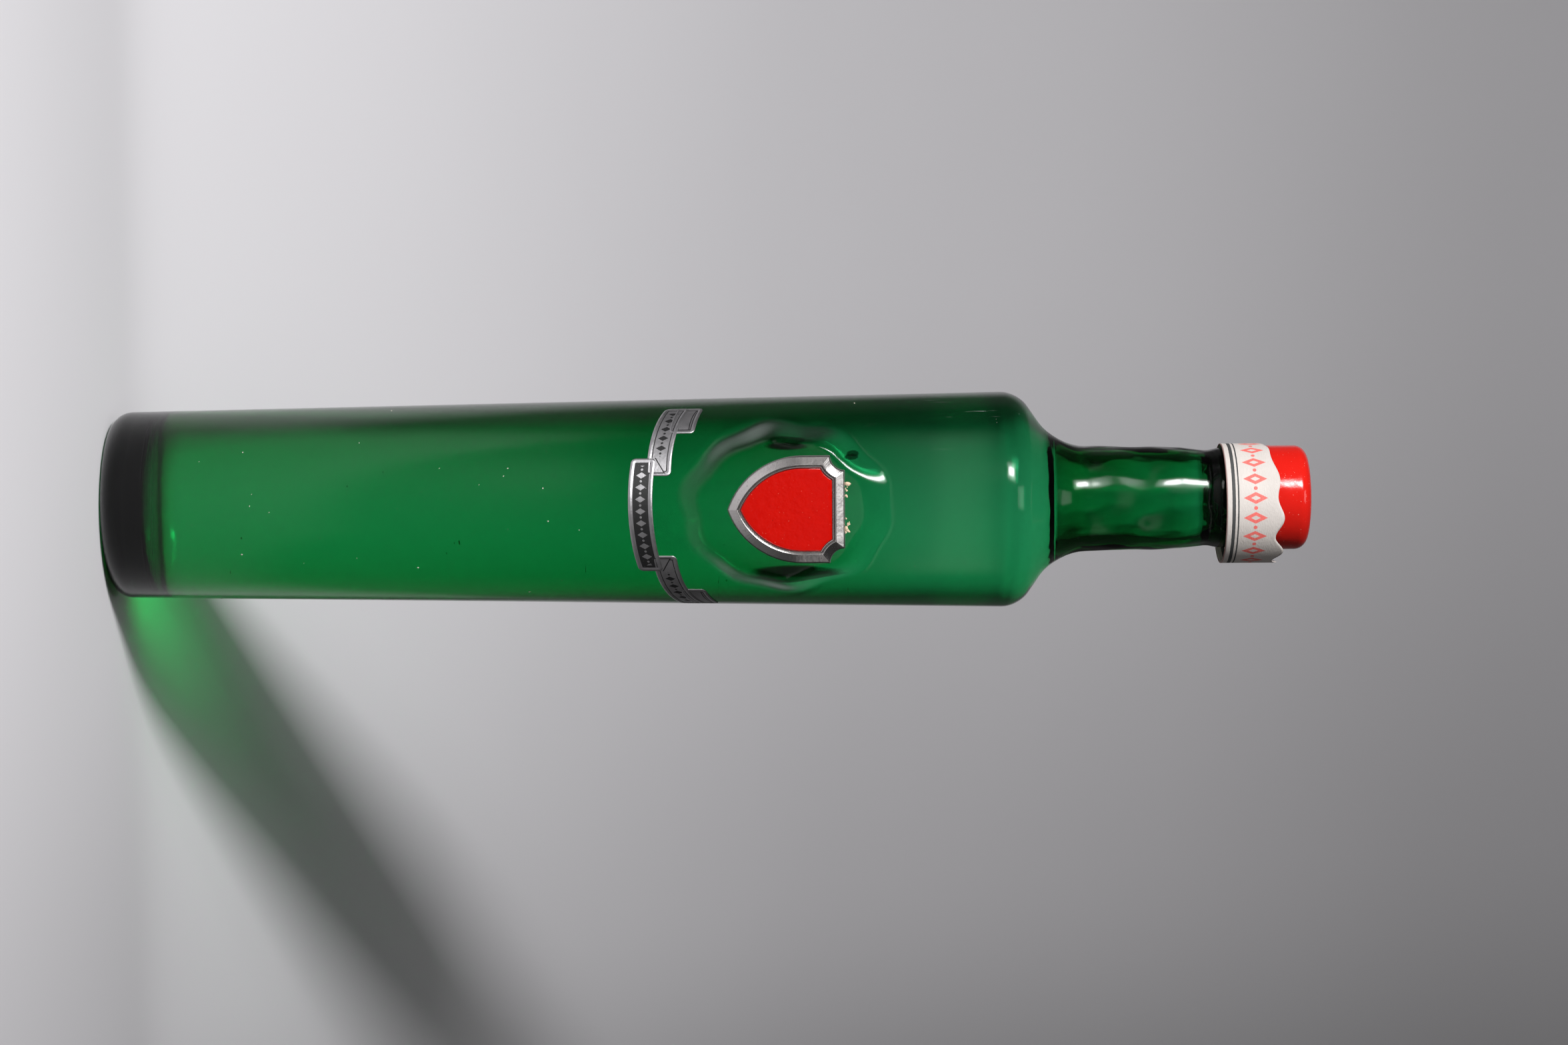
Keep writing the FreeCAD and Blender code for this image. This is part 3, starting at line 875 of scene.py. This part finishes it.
def glue_spots():
    """Crumbs of old glue in two clusters along the badge's upper edge."""
    front = Vector((0, -1, 0))
    depth = FIELD_DEPTH + 0.25
    spots = []
    for middle, spread, count in ((3.6, 1.0, 11), (-3.2, 1.3, 5)):
        for _ in range(count):
            x = random.gauss(middle, spread)
            rise = BADGE_TOP + random.uniform(0.1, 0.9)
            spots.append((Vector((x, -depth, SEAL_HEIGHT + rise)), front, random.uniform(0.2, 0.65)))
    return spots


def dust_spots():
    """Dust that clings to the glass, clear of the label, the seal and the widest sides."""
    sizes = (0.06, 0.08, 0.1, 0.14, 0.24)
    widest = 21.6
    spots = []
    while len(spots) < DUST_GRAINS:
        angle = random.uniform(0, TURN)
        z = random.uniform(14, 185)
        radius = side_radius(z)
        place = Vector((radius * math.sin(angle), -radius * math.cos(angle), z))
        front = place.y < 0
        on_seal = front and abs(z - SEAL_HEIGHT) < 23 and abs(place.x) < 19
        on_label = front and abs(z - RIBBON_HEIGHT - 3) < 12
        if not on_seal and not on_label and max(abs(place.x), abs(place.y)) < widest:
            spots.append((place, Vector((place.x, place.y, 0)), random.choice(sizes)))
    return spots


def grain_finish(name, light, dark):
    finish = Finish(name)
    place = finish.place()
    cloud = finish.noise(place, 1300, 3, 0.7)
    colour = finish.blend(cloud, light, dark)
    bump = finish.bump(cloud, 0.0002)
    return finish.show(finish.skin(Base_Color=colour, Roughness=0.75 + cloud * 0.2, Normal=bump))


old_glue = grain_finish("old_glue", rgb(232, 212, 186), rgb(186, 156, 122))
pale_dust = grain_finish("dust", rgb(214, 212, 202), rgb(150, 140, 120))
random.seed(7)
piece("badge_glue_crumbs", grain_form(glue_spots()), old_glue, "bottle", None, smooth=False)
piece("glass_dust", grain_form(dust_spots()), pale_dust, "bottle", None, smooth=False)


# Finishes of the solids that stay
def card_finish():
    finish = Finish("tan_backing_card")
    place = finish.place()
    grain = finish.noise(place, 900, 4, 0.7)
    colour = finish.blend(grain, rgb(206, 172, 126), rgb(160, 122, 78))
    return finish.show(finish.skin(Base_Color=colour, Roughness=0.85, Normal=finish.bump(grain, 0.0002)))


def reducer_finish():
    finish = Finish("milky_polyethylene")
    place = finish.place()
    cloud = finish.noise(place, 300, 3)
    colour = finish.blend(cloud, rgb(232, 232, 226), rgb(214, 214, 206))
    skin = finish.skin(
        Base_Color=colour, Roughness=0.32 + cloud * 0.15, Subsurface_Weight=0.2,
        Normal=finish.bump(finish.noise(place, 1400, 3), 0.00003))
    return finish.show(skin)


def liner_finish():
    finish = Finish("liner_pulpboard")
    place = finish.place()
    fibre = finish.noise(finish.stretched(place, (1, 3, 1)), 1100, 4, 0.7)
    colour = finish.blend(fibre, rgb(226, 218, 200), rgb(190, 178, 152))
    return finish.show(finish.skin(Base_Color=colour, Roughness=0.8, Normal=finish.bump(fibre, 0.0001)))


def refinish(node, finish):
    """Gives a solid that stays in sight its finish."""
    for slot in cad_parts[node].material_slots:
        slot.material = finish


refinish("badge_backing", card_finish())
refinish("orifice_reducer", reducer_finish())
refinish("cap_liner", liner_finish())


# Stage, in metres, with the photograph's width and focal length in pixels
PHOTO_PIXELS = 2352
FOCAL_PIXELS = 5400
SOFTBOX_PLACE = (-0.575, -0.82, 0.60)


def paper_finish():
    """Pale paper with painted shade that darkens it to the right and the top, grey outside the picture and
    clear from behind.
    """
    finish = Finish("sweep_paper")
    place = finish.place()
    x, y, z = finish.axes(place)
    camera_distance = 0.76
    camera_height = 0.14
    reach = (y + camera_distance).most(0.2)
    across = x / reach
    above = (z - camera_height) / reach
    # Painted shade: tall and wide darken the paper towards the top and the right, where the light falls off;
    # the grey to the right stands in for that shade too.
    tall = 1.23 - (0 - above).ease(0.0, 0.2) * 0.265 - above.ease(-0.02, 0.22) * 0.55
    wide = 1 - across.ease(-0.03, 0.2) * 0.29
    left = (0 - across).ease(0.15, 0.4) * y.ease(-0.05, 0.1)
    away = (0 - y).ease(0.16, 0.30).most(across.ease(0.14, 0.29)).most(left)
    shade = tall * wide * (finish.noise(place, 6, 2) * 0.03 + 0.785)
    colour = finish.blend(shade, (0, 0, 0, 1), (0.985, 0.965, 1.0, 1))
    colour = finish.blend(away, colour, (0.17, 0.17, 0.17, 1))
    front = finish.skin(Base_Color=colour, Roughness=0.9)
    back = finish.add("NewGeometry").out("Backfacing")
    return finish.show(finish.mix(back, front, finish.add("BsdfTransparent")))


def sweep():
    """Pale paper that lies under the bottle and rises behind it."""
    form = bmesh.new()
    line = [
        (-4, 0), (-1, 0), (-0.2, 0), (0.0, 0), (0.022, 0), (0.04, 0.002), (0.07, 0.009), (0.12, 0.0215),
        (0.2, 0.0415), (0.3, 0.066), (0.5, 0.118), (0.75, 0.21), (0.95, 0.42), (1.08, 0.9), (1.12, 2.2)]
    width = 3.6
    places = [form.verts.new((-width / 2, y, z)) for y, z in line]
    edges = [form.edges.new(pair) for pair in zip(places, places[1:])]
    made = bmesh.ops.extrude_edge_only(form, edges=edges)["geom"]
    far_side = [thing for thing in made if isinstance(thing, bmesh.types.BMVert)]
    bmesh.ops.translate(form, verts=far_side, vec=(width, 0, 0))
    for face in form.faces:
        face.normal_update()
        if face.normal.z - face.normal.y < 0:
            face.normal_flip()
    paper = shape("paper_sweep", form, paper_finish())
    soft = paper.modifiers.new("soft", "SUBSURF")
    soft.levels = 3
    soft.render_levels = 3


def lamp(name, place, aim, wide, high, watts):
    """A rectangular lamp, in metres, that points at a height on the bottle's axis."""
    data = bpy.data.lights.new(name, "AREA")
    data.shape = "RECTANGLE"
    data.size = wide
    data.size_y = high
    data.energy = watts
    thing = put(name, data)
    thing.location = place
    thing.rotation_euler = (UP * aim - Vector(place)).to_track_quat("-Z", "Y").to_euler()


def camera():
    """A level camera, lying on its side, a little to the left of the badge."""
    azimuth = math.radians(-4.5)
    roll = math.radians(0.38)
    distance = 0.755
    height = 0.1406
    right = Vector((math.cos(azimuth), math.sin(azimuth), 0))
    place = Vector((math.sin(azimuth) * distance, -math.cos(azimuth) * distance, height))
    aim = UP * height + right * 0.0046
    back = (place - aim).normalized()
    left = back.cross(UP).normalized()
    across = UP * math.cos(roll) - left * math.sin(roll)
    above = UP * math.sin(roll) + left * math.cos(roll)
    data = bpy.data.cameras.new("camera")
    data.sensor_width = 36.0
    data.lens = FOCAL_PIXELS / PHOTO_PIXELS * data.sensor_width
    data.clip_start = 0.05
    thing = put("camera", data)
    turn = Matrix((across, above, back)).transposed().to_4x4()
    thing.matrix_world = Matrix.Translation(place) @ turn
    bpy.context.scene.camera = thing


def studio():
    """A dim room with a bright low band in front, a softbox with a bright core and a small panel overhead."""
    world = bpy.data.worlds.new("studio")
    world.use_nodes = True
    room = Nodes(world.node_tree)
    _, y, z = room.axes(room.add("TexCoord").out("Generated"))
    band = z.ease(-0.004, 0.018) * (1 - z.ease(0.06, 0.10)) * (0 - y).ease(0.0, 0.4)
    glow = room.add("Background", None, {"Color": (1.0, 0.98, 0.98, 1), "Strength": 0.035 + band * 0.7})
    output = room.tree.nodes.new("ShaderNodeOutputWorld")
    room.plug(output.inputs["Surface"], glow)
    bpy.context.scene.world = world
    lamp("softbox", SOFTBOX_PLACE, aim=0.12, wide=0.36, high=0.56, watts=3.4)
    lamp("softbox_core", SOFTBOX_PLACE, aim=0.12, wide=0.165, high=0.36, watts=14.0)
    lamp("top_panel", (-0.06, -0.52, 0.92), aim=0.15, wide=0.3, high=0.3, watts=0.6)


sweep()
studio()
camera()
bpy.context.scene.view_settings.view_transform = "Standard"
